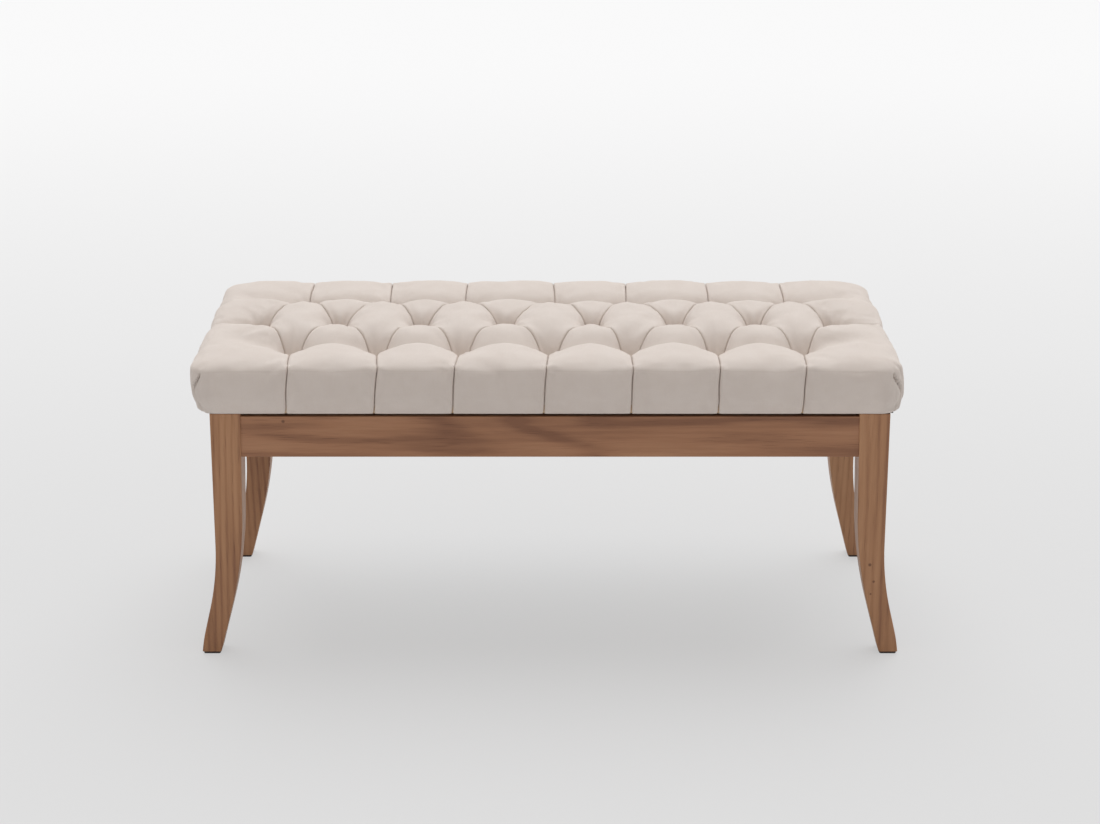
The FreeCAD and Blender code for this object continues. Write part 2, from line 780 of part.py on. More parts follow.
def clear_of_legs(place):
    """True where a staple below the dust cover misses the tops of the legs."""
    beside_u = abs(place[0]) < leg_inner_top_u - staple_width
    beside_v = abs(place[1]) < leg_back_v - staple_width
    return beside_u or beside_v


def main():
    os.makedirs("parts", exist_ok=True)
    all_places = front_row + middle_row + back_row

    hardware = corner_hardware()
    dowel_holes = dowels(dowel_radius + drill_clearance, drill_extra_depth)
    leg = leg_blank().cut(dowel_holes + hardware["leg_cuts"] + [foot_nail_hole()])
    for corner, solid in all_corners(leg).items():
        save("leg_" + corner, [solid])
    for corner, solid in all_corners(hardware["block"]).items():
        save("corner_block_" + corner, [solid])
    for corner, solid in all_corners(foot_pad()).items():
        save("foot_pad_" + corner, [solid])

    corner_cuts = []
    for cut in dowel_holes + hardware["rail_cuts"]:
        corner_cuts += list(all_corners(cut).values())
    back = long_rail(corner_cuts)
    right = end_rail(corner_cuts)
    save("rail_back", [back])
    save("rail_front", [back.mirror(Vector(0, 0, 0), Vector(0, 1, 0))])
    save("rail_right", [right])
    save("rail_left", [right.mirror(Vector(0, 0, 0), Vector(1, 0, 0))])

    groups = {
        "rail_dowels": dowels(dowel_radius, 0.0),
        "hanger_bolts": [hardware["bolt"]],
        "hanger_bolt_washers": [hardware["washer"]],
        "hanger_bolt_nuts": [hardware["nut"]],
        "corner_block_screws": hardware["block_screws"],
        "seat_screws": [hardware["seat_screw"]],
        "foot_pad_nails": [foot_nail()],
    }
    for node, solids in groups.items():
        save(node, [copy for solid in solids for copy in all_corners(solid).values()])

    cover_staples = [staple(x, y, along, cover_z, 0.0) for x, y, along in staple_places(cover_staple_inset)]
    cover_slots = [
        staple(x, y, along, cover_z, staple_clearance) for x, y, along in staple_places(cover_staple_inset)
    ]
    dust_z = dust_cover_z - staple_wire
    dust_places = [p for p in staple_places(dust_staple_inset) if clear_of_legs(p)]
    dust_staples = [staple(x, y, along, dust_z, 0.0) for x, y, along in dust_places]
    dust_slots = [staple(x, y, along, dust_z, staple_clearance) for x, y, along in dust_places]
    save("cover_staples", cover_staples)
    save("dust_cover_staples", dust_staples)
    slots = cover_slots + dust_slots
    seat_holes = list(all_corners(hardware["seat_hole"]).values())

    board_half_u = base_half_u - cover_thickness - foam_clearance
    board_half_v = base_half_v - cover_thickness - foam_clearance
    board_outline = rounded_section(board_half_u, board_half_v, board_corner_radius, board_z)
    board = Part.Face(board_outline).extrude(Vector(0, 0, board_thickness))
    board_channels = twine_channels(twine_channel_radius, board_z, foam_z, all_places)
    save("seat_board", [board.cut(seat_holes + slots + board_channels)])

    dust_half_u = base_half_u - dust_cover_setback
    dust_half_v = base_half_v - dust_cover_setback
    dust_outline = rounded_section(dust_half_u, dust_half_v, seat_corner_radius, dust_cover_z)
    dust_cover = Part.Face(dust_outline).extrude(Vector(0, 0, dust_cover_thickness))
    save("dust_cover", [dust_cover.cut(seat_holes + dust_slots)])

    outer = cushion_form(0.0, cover_z)
    hollow = cushion_form(cover_thickness, board_z)
    cover = whole(outer.cut(hollow))
    hem_u = base_half_u - hem_width
    hem_v = base_half_v - hem_width
    opening = box((-hem_u, -hem_v, cover_z - 1), (hem_u, hem_v, board_z + 1))
    cover_channels = twine_channels(
        twine_radius + twine_hole_clearance, pit_seat_z - 2 * cover_thickness, pit_seat_z + 1, all_places
    )
    save("seat_cover", [cover.cut([opening] + slots + cover_channels)])

    foam = whole(cushion_form(cover_thickness + foam_clearance, foam_z))
    save("seat_foam", [foam.cut(twine_channels(twine_channel_radius, foam_z, pit_seat_z, all_places))])

    for name, places in (("front", front_row), ("middle", middle_row), ("back", back_row)):
        save("buttons_" + name + "_row", [button(p) for p in places])
    save("button_twines", [twine(p) for p in all_places])
    save("twine_anchors", [anchor(p) for p in all_places])


main()
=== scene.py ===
import bpy, bmesh, json, math, random
from mathutils import Vector, Matrix, kdtree, noise

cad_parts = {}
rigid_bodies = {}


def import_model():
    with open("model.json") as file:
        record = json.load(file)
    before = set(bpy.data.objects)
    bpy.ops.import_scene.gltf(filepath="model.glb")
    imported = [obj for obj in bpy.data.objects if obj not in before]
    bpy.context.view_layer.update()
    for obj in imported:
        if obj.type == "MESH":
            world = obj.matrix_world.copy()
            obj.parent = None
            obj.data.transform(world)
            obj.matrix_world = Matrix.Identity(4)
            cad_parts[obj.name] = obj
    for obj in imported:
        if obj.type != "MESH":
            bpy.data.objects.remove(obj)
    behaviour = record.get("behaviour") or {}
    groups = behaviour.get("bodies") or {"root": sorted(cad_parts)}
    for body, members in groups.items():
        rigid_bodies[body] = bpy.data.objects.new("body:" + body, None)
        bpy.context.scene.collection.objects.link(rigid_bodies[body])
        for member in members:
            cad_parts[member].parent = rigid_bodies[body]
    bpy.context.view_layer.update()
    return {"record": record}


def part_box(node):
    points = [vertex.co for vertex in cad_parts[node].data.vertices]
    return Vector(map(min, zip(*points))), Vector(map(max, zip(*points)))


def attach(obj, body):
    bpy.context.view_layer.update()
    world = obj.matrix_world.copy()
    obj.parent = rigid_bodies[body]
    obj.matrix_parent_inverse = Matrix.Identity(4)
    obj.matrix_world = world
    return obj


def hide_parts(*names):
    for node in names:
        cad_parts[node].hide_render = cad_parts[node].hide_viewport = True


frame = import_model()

scene = bpy.context.scene
scene.view_settings.view_transform = "Standard"


class Shade:
    # wraps a node socket, so that shader maths can be written as an expression
    def __init__(self, tree, out=None):
        self.tree, self.out = tree, out

    def add(self, kind, inputs=None, output=0, stops=None, **settings):
        node = self.tree.nodes.new("ShaderNode" + kind)
        for name, value in settings.items():
            setattr(node, name, value)
        for i, (place, colour) in enumerate(stops or []):
            spot = node.color_ramp.elements[i] if i < 2 else node.color_ramp.elements.new(place)
            spot.position, spot.color = place, (*colour, 1)
        for name, value in (inputs or {}).items():
            if isinstance(value, Shade):
                self.tree.links.new(value.out, node.inputs[name])
            else:
                node.inputs[name].default_value = value
        return Shade(self.tree, node.outputs[output])

    def maths(self, operation, *values):
        return self.add("Math", dict(enumerate(values)), operation=operation)

    def mixed(self, other, amount, blend="MIX"):
        # colours: this one turning into the other
        return self.add("Mix", {0: amount, 6: self, 7: other}, 2, data_type="RGBA", blend_type=blend)

    def scaled(self, size):
        return self.add("VectorMath", {0: self, 1: size}, operation="MULTIPLY")

    def axes(self):
        split = self.add("SeparateXYZ", {0: self}).out.node
        return [Shade(self.tree, out) for out in split.outputs]

    def noise(self, scale, detail=3.0, roughness=0.5):
        values = {"Vector": self, "Scale": scale, "Detail": detail, "Roughness": roughness}
        return self.add("TexNoise", values)

    def __add__(self, other): return self.maths("ADD", self, other)
    def __radd__(self, other): return self.maths("ADD", other, self)
    def __sub__(self, other): return self.maths("SUBTRACT", self, other)
    def __rsub__(self, other): return self.maths("SUBTRACT", other, self)
    def __mul__(self, other): return self.maths("MULTIPLY", self, other)
    def __rmul__(self, other): return self.maths("MULTIPLY", other, self)
    def __pow__(self, other): return self.maths("POWER", self, other)

    def between(self, low, high):
        return self.add("MapRange", {0: self, 1: low, 2: high}, interpolation_type="SMOOTHSTEP")

    def sine(self):
        return self.maths("SINE", self)

    def minus(self, point):
        return self.add("VectorMath", {0: self, 1: point}, operation="SUBTRACT")

    def flatColour(self, colour):
        value = self.add("RGB")
        value.out.default_value = (*colour, 1)
        return value


def newMaterial(name, **values):
    material = bpy.data.materials.new(name)
    material.use_nodes = True
    surface = material.node_tree.nodes["Principled BSDF"]
    for socket, value in values.items():
        surface.inputs[socket.replace("_", " ")].default_value = value
    return material, Shade(material.node_tree), surface


def finishMaterial(surface, colour, rough, height=None, lift=0.0002):
    tree = colour.tree
    tree.links.new(colour.out, surface.inputs["Base Color"])
    tree.links.new(rough.out, surface.inputs["Roughness"])
    if height:
        bump = colour.add("Bump", {"Height": height, "Distance": lift, "Strength": 1.0})
        tree.links.new(bump.out, surface.inputs["Normal"])


# wood; a stretch is the share of a pattern's scale that is left along the grain
beech = {
    "pale": (0.470, 0.245, 0.132), "middle": (0.375, 0.178, 0.090), "dark": (0.235, 0.102, 0.050),
    "paleAt": 0.12, "middleAt": 0.48, "darkAt": 0.86,
    "poreDark": (0.12, 0.048, 0.024), "poreDepth": 0.55, "poreScale": 620.0, "poreStretch": 0.030,
    "roughness": 0.40, "shine": 0.42,
    "ringsPerMetre": 120.0, "rings": 0.34, "lateWood": 2.2, "taper": 0.016,
    "swirl": 0.060, "swirlScale": 7.0, "swirlStretch": 0.20, "waver": 0.0040,
    "streaks": 0.34, "streakScale": 26.0, "fibres": 0.26, "fibreScale": 120.0, "grainStretch": 0.055,
    "patches": 0.16, "patchScale": 3.2,
    "hazeScale": 42.0, "relief": 0.00012,
}


def makeWood(name, along, look, heartAt=(0.0, 0.0, 0.0), seed=0.0, knots=()):
    # along is the axis of the grain, heartAt a point on the line that the rings lie round
    material, start, surface = newMaterial(name, Specular_IOR_Level=look["shine"])
    place = start.add("TexCoord", output=3)
    shifted = place.minus(tuple(seed + h for h in heartAt))

    def stretched(share):
        return shifted.scaled(tuple(share if axis == along else 1.0 for axis in range(3)))

    warp = stretched(look["swirlStretch"]).noise(look["swirlScale"], 2.0, 0.40)
    grain = stretched(look["grainStretch"])
    streak = grain.noise(look["streakScale"], 3.0, 0.55)
    fine = grain.noise(look["fibreScale"], 3.0, 0.6)
    axes = place.minus(heartAt).axes()
    across = [axes[i] for i in range(3) if i != along]
    radius = (across[0] ** 2.0 + across[1] ** 2.0) ** 0.5
    rings = radius + warp * look["swirl"] + streak * look["waver"] + axes[along] * look["taper"]
    wave = (rings * (look["ringsPerMetre"] * 6.2832)).sine()
    late = (wave * 0.5 + 0.5) ** look["lateWood"]
    board = shifted.noise(look["patchScale"], 1.0, 0.4)
    tone = late * look["rings"] + streak.between(0.28, 0.72) * look["streaks"]
    tone = tone + board.between(0.3, 0.7) * look["patches"] + fine.between(0.25, 0.75) * look["fibres"]
    stops = [(look[shade + "At"], look[shade]) for shade in ("pale", "dark", "middle")]
    colour = tone.add("ValToRGB", {0: tone}, stops=stops)
    # short dark pores along the grain, most of them in the late wood
    cells = {"Vector": stretched(look["poreStretch"]), "Scale": look["poreScale"], "Randomness": 1.0}
    pore = (1.0 - start.add("TexVoronoi", cells).between(0.10, 0.34)) * (0.25 + late * 0.75)
    dark = start.flatColour(look["poreDark"])
    colour = colour.mixed(dark, pore * look["poreDepth"])
    for knot, size in knots:
        away = place.add("VectorMath", {0: place, 1: knot}, 1, operation="DISTANCE")
        colour = colour.mixed(dark, (1.0 - away.between(size * 0.3, size)) * 0.8)
    rough = look["roughness"] + place.noise(look["hazeScale"], 2.0) * 0.12 + pore * 0.10
    height = late * 0.25 - pore * 0.9 + fine * 0.35
    finishMaterial(surface, colour, rough, height, look["relief"])
    return material


# cloth; the thread's width is in metres, and a slub is a thicker thread
linen = {
    "thread": 0.00082, "wander": 0.00035, "wanderScale": 160.0,
    "slubAlong": 26.0, "slubAcross": 1150.0, "slubWeftAlong": 22.0, "slubFrom": 0.50, "slubTo": 0.78,
    "cloudScale": 38.0, "fuzzScale": 900.0,
    "light": (0.805, 0.735, 0.682), "deep": (0.680, 0.596, 0.534), "slub": (0.72, 0.62, 0.54),
    "roughness": 0.86, "relief": 0.00022,
    "shine": 0.18, "sheen": 0.22, "sheenRough": 0.55, "sheenTint": (0.95, 0.92, 0.88, 1),
}


def makeLinen(name, useUv):
    material, start, surface = newMaterial(
        name, Specular_IOR_Level=linen["shine"], Sheen_Weight=linen["sheen"],
        Sheen_Roughness=linen["sheenRough"], Sheen_Tint=linen["sheenTint"])
    flat = start.add("TexCoord", output=2 if useUv else 3)
    place = start.add("TexCoord", output=3)
    wander = flat.noise(linen["wanderScale"], 2.0, 0.5) * linen["wander"]
    across, along, _ = flat.axes()
    warpWave, weftWave = [((way + wander) * (math.pi / linen["thread"])).sine() for way in (across, along)]
    over = (warpWave * weftWave).between(-0.5, 0.5)
    warpRound, weftRound = [wave.maths("ABSOLUTE", wave) for wave in (warpWave, weftWave)]
    weave = warpRound * over + weftRound * (1.0 - over)
    # thicker threads run in both directions
    sizes = (linen["slubAcross"], linen["slubAlong"], 1.0), (linen["slubWeftAlong"], linen["slubAcross"], 1.0)
    thick = [flat.scaled(size).noise(1.0, 2.0, 0.6).between(linen["slubFrom"], linen["slubTo"]) for size in sizes]
    slub = start.maths("MAXIMUM", *thick)
    cloud = place.noise(linen["cloudScale"], 4.0, 0.6)
    fuzz = place.noise(linen["fuzzScale"], 3.0, 0.6)
    light, deep, tint = [start.flatColour(linen[part]) for part in ("light", "deep", "slub")]
    # the hollows between the threads are darker, a painted shade in the weave; fuzz and cloud add random tone
    shade = (1.0 - weave) * 0.55 + fuzz * 0.28 + cloud.between(0.3, 0.75) * 0.20
    colour = light.mixed(deep, shade).mixed(tint, slub * 0.30)
    height = weave * 0.75 + slub * 0.45 + fuzz * 0.35
    finishMaterial(surface, colour, linen["roughness"] + fuzz * 0.10, height, linen["relief"])
    return material


def makeDustCloth(name):
    material, start, surface = newMaterial(name, Specular_IOR_Level=0.25)
    place = start.add("TexCoord", output=3)
    fibres = place.add("TexVoronoi", {"Vector": place, "Scale": 900.0}, feature="DISTANCE_TO_EDGE")
    cells = {"Vector": place.scaled((1.0, 1.0, 0.05)), "Scale": 520.0, "Randomness": 0.15}
    dot = 1.0 - place.add("TexVoronoi", cells).between(0.15, 0.42)
    mottle = place.noise(60.0, 4.0, 0.6)
    tone = mottle * 0.5 + fibres.between(0.0, 0.2) * 0.3 + dot * 0.2
    stops = [(0.2, (0.008, 0.008, 0.009)), (0.9, (0.028, 0.028, 0.030))]
    colour = tone.add("ValToRGB", {0: tone}, stops=stops)
    finishMaterial(surface, colour, 0.72 + mottle * 0.2, dot * -0.6 + fibres * 0.4, 0.0002)
    return material


# the finishes of the hidden pieces and of the pads
def makeZinc(name):
    material, start, surface = newMaterial(name, Metallic=0.9)
    place = start.add("TexCoord", output=3)
    spangle = place.add("TexVoronoi", {"Vector": place, "Scale": 420.0})
    haze = place.noise(180.0, 3.0)
    tone = spangle * 0.5 + haze * 0.5
    stops = [(0.2, (0.42, 0.42, 0.40)), (0.8, (0.66, 0.66, 0.63))]
    colour = tone.add("ValToRGB", {0: tone}, stops=stops)
    finishMaterial(surface, colour, 0.30 + haze * 0.22, haze, 0.00005)
    return material


def makePadPlastic(name):
    material, start, surface = newMaterial(name, Specular_IOR_Level=0.4)
    place = start.add("TexCoord", output=3)
    grit = place.noise(1400.0, 2.0, 0.6)
    scuff = place.scaled((1.0, 1.0, 4.0)).noise(120.0, 3.0, 0.65)
    tone = grit * 0.35 + scuff * 0.65
    stops = [(0.3, (0.020, 0.012, 0.009)), (0.75, (0.060, 0.036, 0.026))]
    colour = tone.add("ValToRGB", {0: tone}, stops=stops)
    finishMaterial(surface, colour, 0.50 + scuff * 0.3, grit, 0.00008)
    return material


def makeTwine(name):
    material, start, surface = newMaterial(name, Specular_IOR_Level=0.2)
    place = start.add("TexCoord", output=3)
    x, y, z = place.axes()
    strand = ((x + y) * 2400.0 + z * 3200.0).sine() * 0.5 + 0.5
    fuzz = place.noise(2500.0, 3.0, 0.7)
    tone = strand * 0.6 + fuzz * 0.4
    stops = [(0.1, (0.50, 0.44, 0.34)), (0.9, (0.78, 0.72, 0.60))]
    colour = tone.add("ValToRGB", {0: tone}, stops=stops)
    finishMaterial(surface, colour, 0.8 + fuzz * 0.15, strand, 0.0002)
    return material


def makePlywood(name):
    material, start, surface = newMaterial(name, Specular_IOR_Level=0.3)
    place = start.add("TexCoord", output=3)
    ply = (place.axes()[2] * 2600.0).sine() * 0.5 + 0.5
    grain = place.scaled((6.0, 140.0, 140.0)).noise(1.0, 4.0, 0.6)
    figure = place.scaled((1.5, 14.0, 14.0)).noise(1.0, 2.0, 0.5)
    tone = grain * 0.5 + figure * 0.3 + ply * 0.2
    stops = [(0.25, (0.62, 0.45, 0.28)), (0.8, (0.42, 0.27, 0.15))]
    colour = tone.add("ValToRGB", {0: tone}, stops=stops)
    finishMaterial(surface, colour, 0.6 + grain * 0.2, grain, 0.0002)
    return material


print("materials")
legLook = dict(beech, rings=0.24, swirl=0.040, ringsPerMetre=115.0,
               pale=(0.490, 0.262, 0.135), middle=(0.395, 0.195, 0.094))
blockLook = dict(beech, pale=(0.60, 0.43, 0.27), middle=(0.52, 0.35, 0.21), dark=(0.42, 0.26, 0.14), roughness=0.6)
dowelLook = dict(beech, pale=(0.70, 0.54, 0.35), middle=(0.62, 0.45, 0.28), dark=(0.50, 0.34, 0.20), roughness=0.6)
railKnots = [((-0.3796, -0.185, 0.368), 0.0035)]
legKnots = [((0.4665, -0.187, 0.145), 0.0035), ((0.4735, -0.187, 0.118), 0.0028), ((0.470, -0.187, 0.098), 0.0022)]
finishes = {
    "rail_front": makeWood("wood_rail_front", 0, beech, (0.0, -0.060, 0.345), 0.0, railKnots),
    "rail_back": makeWood("wood_rail_back", 0, beech, (0.0, 0.060, 0.350), 3.1),
    "rail_left": makeWood("wood_rail_left", 1, beech, (-0.43, 0.0, 0.27), 5.3),
    "rail_right": makeWood("wood_rail_right", 1, beech, (0.41, 0.0, 0.30), 7.7),
    "leg_front_left": makeWood("wood_leg_front_left", 2, legLook, (-0.36, -0.12, 0.0), 1.3),
    "leg_front_right": makeWood("wood_leg_front_right", 2, legLook, (0.38, -0.10, 0.0), 2.2, legKnots),
    "leg_back_left": makeWood("wood_leg_back_left", 2, legLook, (-0.37, 0.10, 0.0), 4.6),
    "leg_back_right": makeWood("wood_leg_back_right", 2, legLook, (0.36, 0.09, 0.0), 6.9),
    "block_wood": makeWood("wood_blocks", 0, blockLook, (0.0, 0.0, 0.25), 8.8),
    "dowel_wood": makeWood("wood_dowels", 0, dowelLook, (0.0, 0.0, 0.30), 9.4),
    "plywood": makePlywood("plywood_board"),
    "pad_plastic": makePadPlastic("pad_plastic"),
    "zinc_steel": makeZinc("zinc_steel"),
    "twine": makeTwine("tufting_twine"),
    "dust_fabric": makeDustCloth("dust_cloth"),
    "seat_fabric": makeLinen("linen_cover", True),
    "button_fabric": makeLinen("linen_button", False),
}
finishes["foam"] = finishes["seat_fabric"]
for row in frame["record"]["subparts"]:
    node = bpy.data.objects[row["node"]]
    material = finishes.get(row["node"], finishes.get(row["material_slot"]))
    if not node.material_slots:
        node.data.materials.append(material)
    for spot in node.material_slots:
        spot.material = material

# seat cushion, in metres; pits, tops and feet are the places along the length of the pits, of the pleats'
# ends at the top edge and of their ends at the bottom
cushion = {
    "halfLength": 0.5030, "halfDepth": 0.1995, "corner": 0.030, "shift": -0.0050,
    "bottom": 0.3803, "crown": 0.4662, "roundIn": 0.026, "roundDown": 0.012,
    "rowAt": 0.100, "turnsOut": 0.020, "weld": 0.00002,
    "frontPits": (-0.375, -0.2505, -0.1297, -0.001, 0.1154, 0.2409, 0.3646),
    "middlePits": (-0.4310, -0.3151, -0.1936, -0.0677, 0.0636, 0.1875, 0.3050, 0.4209),
    "backPits": (-0.3725, -0.2462, -0.1313, 0.0088, 0.1170, 0.2454, 0.3625),
    "frontTops": (-0.3690, -0.2430, -0.1340, -0.0050, 0.1170, 0.2395, 0.3605),
    "frontFeet": (-0.3750, -0.2500, -0.1385, -0.0090, 0.1150, 0.2385, 0.3578),
    "backTops": (-0.3690, -0.2480, -0.1290, 0.0050, 0.1190, 0.2440, 0.3600),
    "backFeet": (-0.3700, -0.2500, -0.1270, 0.0020, 0.1210, 0.2460, 0.3570),
}
# a pit draws the cloth down: far between the pleats, further along them, and most under the button
dip = {
    "radius": 0.0090, "depth": 0.0430, "near": 0.0065, "far": 0.024, "alongPleat": 0.015,
    "farShareOuter": 0.40, "farShareMiddle": 0.20, "outerFrom": 0.03, "outerOver": 0.04,
    "buttonSeat": 0.0090, "seatRadius": 0.0080, "seatSlope": 0.0030,
}
# the top's fall towards the edges, its troughs between the rows and the edges, and the diamonds' crowns
form = {
    "frontFall": 0.0065, "backFall": 0.0022, "fallFrom": 0.040, "fallOver": 0.070,
    "endFall": 0.0068, "endFallFrom": 0.020, "endFallOver": 0.055, "endReach": 0.09,
    "frontTrough": 0.0155, "frontTroughAt": -0.090, "frontTroughWide": 0.020,
    "backTrough": 0.0140, "backTroughAt": 0.098, "backTroughWide": 0.016,
    "crest": 0.0036, "crestAt": 0.066, "crestWide": 0.022,
    "diamonds": (-0.368, -0.249, -0.126, 0.003, 0.121, 0.248, 0.368),
    "diamondLift": 0.0050, "diamondBack": 0.008, "diamondHalfX": 0.060, "diamondHalfY": 0.092, "diamondSlope": 1.6,
}
# a pleat is a slit with rounded rims in a groove, which lies in a broad valley
pleat = {
    "slitHalf": 0.0007, "slitDepth": 0.0070, "slitRim": 0.0022,
    "groove": 0.0011, "grooveWide": 0.0045,
    "valley": 0.0034, "valleyWide": 0.020, "valleyPower": 1.3, "valleyEnds": 0.100, "valleyFades": 0.05,
    "swellShare": 0.52, "swellLeast": 0.002, "swellMost": 0.013,
    "fadeFrom": 0.008, "fadeOver": 0.006,
}
# the folded corner: a tuck that opens from the top edge, closes to a half, and has a lip behind it
fold = {
    "depth": 0.0115, "wide": 0.0014, "opens": 0.010, "closesFrom": 0.050, "closesOver": 0.014,
    "lip": 0.0022, "lipWide": 0.007, "lipFrom": -0.004,
    "topAt": 0.015, "bottomAt": 0.031, "leanOver": 0.034, "middleAt": 0.024,
}
# the side bulges a little between its pleats, and is drawn in and rounded at the bottom
side = {
    "drawnInEnd": 0.0030, "drawnInLong": 0.0100, "drawnFrom": 0.55, "drawnOver": 0.5,
    "roundIn": 0.003, "roundFrom": 0.95, "bulge": 0.0012, "bulgeFrom": 0.04,
    "smoothFrom": 0.055, "smoothOver": 0.012, "leanOver": 0.09,
}
# hand-made unevenness, in two sizes, and gathers along the pleats, round the pits and inside them
crease = {
    "broad": 0.0015, "broadScale": (11, 13, 12), "broadSeed": 4.0,
    "small": 0.0008, "smallScale": (34, 36, 30), "smallSeed": 9.0,
    "pleat": 0.0012, "pleatScale": (130, 70, 60), "pleatSeed": 2.0, "pleatReach": 0.012,
    "ring": 0.0007, "ringScale": (60, 190, 60), "ringSeed": 7.0, "ringAt": 0.034, "ringWide": 0.016,
    "spoke": 0.0017, "spokes": 11, "spokesMore": 17, "spokeFrom": 0.008, "spokeOver": 0.004,
    "spokeEnds": 0.012, "spokeReach": 0.012,
}
# the middle of each corner's rounding, and the length round it
roundX, roundY = cushion["halfLength"] - cushion["corner"], cushion["halfDepth"] - cushion["corner"]
bend = cushion["corner"] * math.pi / 2
# steps away from a pleat, as shares of a puff's width in millimetres; they are close where the cloth turns in
puffWidth = 122.0
pleatSteps = [d / puffWidth for d in (0, 0.35, 0.6, 0.8, 1.2, 1.8, 2.6, 3.6, 5, 7, 9.5, 12.5, 16.5, 21.5, 28, 35.5,
                                      43.5, 52.3, 61)]
puffShares = pleatSteps + [1 - s for s in reversed(pleatSteps[:-1])]
# steps from an outer row of pits to the edge, as shares of the way
edgeShares = [d / 99.5 for d in (0, 0.35, 0.6, 0.8, 1.2, 1.8, 2.6, 3.6, 5, 7, 9.5, 12.5, 16, 20, 24.5, 29.5, 35, 41,
                                 47.5, 54, 60.5, 67, 73, 78.5, 83.5, 87.5, 91, 94, 96.2, 97.8, 98.8, 99.35, 99.5)]
# steps down the side, in metres
sideDrops = [d / 1000.0 for d in (1.2, 3.5, 7, 11.5, 16.5, 22, 28, 34, 40, 45.5, 50.5, 55, 59, 62.3, 65, 67, 68.3)]
sideHeight = 0.0683


def smooth(t):
    t = min(1.0, max(0.0, t))
    return t * t * (3 - 2 * t)


def mix(a, b, t):
    return a + (b - a) * t


def alongSegment(p, a, b):
    # distance from p to the line from a to b, in plan
    run = b - a
    t = min(1.0, max(0.0, (p - a).dot(run) / run.length_squared))
    return (p - a - run * t).length


def bell(distance, width):
    return math.exp(-(distance / width) ** 2)


def fading(distance, width):
    return math.exp(-distance / width)


def edgeDistance(p):
    # how far p is inside the cushion's outline, and the outward direction there
    pastX, pastY = abs(p.x) - roundX, abs(p.y) - roundY
    sx, sy = (1 if p.x >= 0 else -1), (1 if p.y >= 0 else -1)
    if pastX > 0 and pastY > 0:
        out = Vector((pastX, pastY))
        return cushion["corner"] - out.length, Vector((sx * out.x, sy * out.y)).normalized()
    if pastX > pastY:
        return cushion["corner"] - pastX, Vector((sx, 0.0))
    return cushion["corner"] - pastY, Vector((0.0, sy))


def ripple(p, scale, seed):
    return noise.noise(Vector((p.x * scale[0] + seed, p.y * scale[1] - seed, p.z * scale[2] + 0.37 * seed)))


def pitRow(name, y):
    return [Vector((x - cushion["shift"], y)) for x in cushion[name]]


front = pitRow("frontPits", -cushion["rowAt"])
middle = pitRow("middlePits", 0.0)
back = pitRow("backPits", cushion["rowAt"])
allPits = front + middle + back


def pitDips(r, farShare):
    # how far a pit draws the cloth down at a distance r, along a pleat and between pleats
    reach = max(r - dip["radius"], 0.0)
    seat = dip["buttonSeat"] * (1 - smooth((r - dip["seatRadius"]) / dip["seatSlope"]))
    puff = (1 - farShare) * fading(reach, dip["near"]) + farShare * fading(reach, dip["far"])
    along = max(fading(reach, dip["alongPleat"]), puff)
    return dip["depth"] * along + seat, dip["depth"] * puff + seat


def topHeight(p):
    f = form
    inY, inX = cushion["halfDepth"] - abs(p.y), cushion["halfLength"] - abs(p.x)
    near = edgeDistance(p)[0]
    z = cushion["crown"]
    sideFall = f["frontFall" if p.y < 0 else "backFall"] * (1 - smooth((inY - f["fallFrom"]) / f["fallOver"]))
    endFall = f["endFall"] * (1 - smooth((inX - f["endFallFrom"]) / f["endFallOver"]))
    z -= (sideFall ** 3 + endFall ** 3) ** (1 / 3)
    ends = smooth(inX / f["endReach"])
    if p.y < 0:
        z -= f["frontTrough"] * bell(p.y - f["frontTroughAt"], f["frontTroughWide"]) * ends
    else:
        z -= f["backTrough"] * bell(p.y - f["backTroughAt"], f["backTroughWide"]) * ends
        z += f["crest"] * bell(p.y - f["crestAt"], f["crestWide"])
    # each full diamond is crowned a little behind its middle
    for x in f["diamonds"]:
        full = 1 - abs(p.x - x) / f["diamondHalfX"] - abs(p.y - f["diamondBack"]) / f["diamondHalfY"]
        z += f["diamondLift"] * smooth(full * f["diamondSlope"])
    # the rounded edge is part of an ellipse
    turn = min(1.0, max(0.0, 1 - near / cushion["roundIn"]))
    return z - cushion["roundDown"] * (1 - math.sqrt(1 - turn ** 2))


def slit(d):
    far = d - pleat["slitHalf"]
    if far >= pleat["slitRim"]:
        return 0.0
    if far > 0:
        return pleat["slitRim"] - math.sqrt(max(pleat["slitRim"] ** 2 - (pleat["slitRim"] - far) ** 2, 0.0))
    return mix(pleat["slitDepth"], pleat["slitRim"], d / pleat["slitHalf"])


def cornerFold(p, drop, tuck):
    # tuck gives the fold's place in plan at a distance down the side
    tuckAt = tuck(max(drop, 0))
    away = (p - tuckAt).length
    opening = 0.0
    if drop > 0:
        opening = smooth(drop / fold["opens"]) * (1 - 0.5 * smooth((drop - fold["closesFrom"]) / fold["closesOver"]))
    lip = smooth((drop - fold["lipFrom"]) / fold["opens"]) * (1 if abs(p.x) > abs(tuckAt.x) else 0.5)
    return fold["depth"] * bell(away, fold["wide"]) * opening + fold["lip"] * bell(away, fold["lipWide"]) * lip


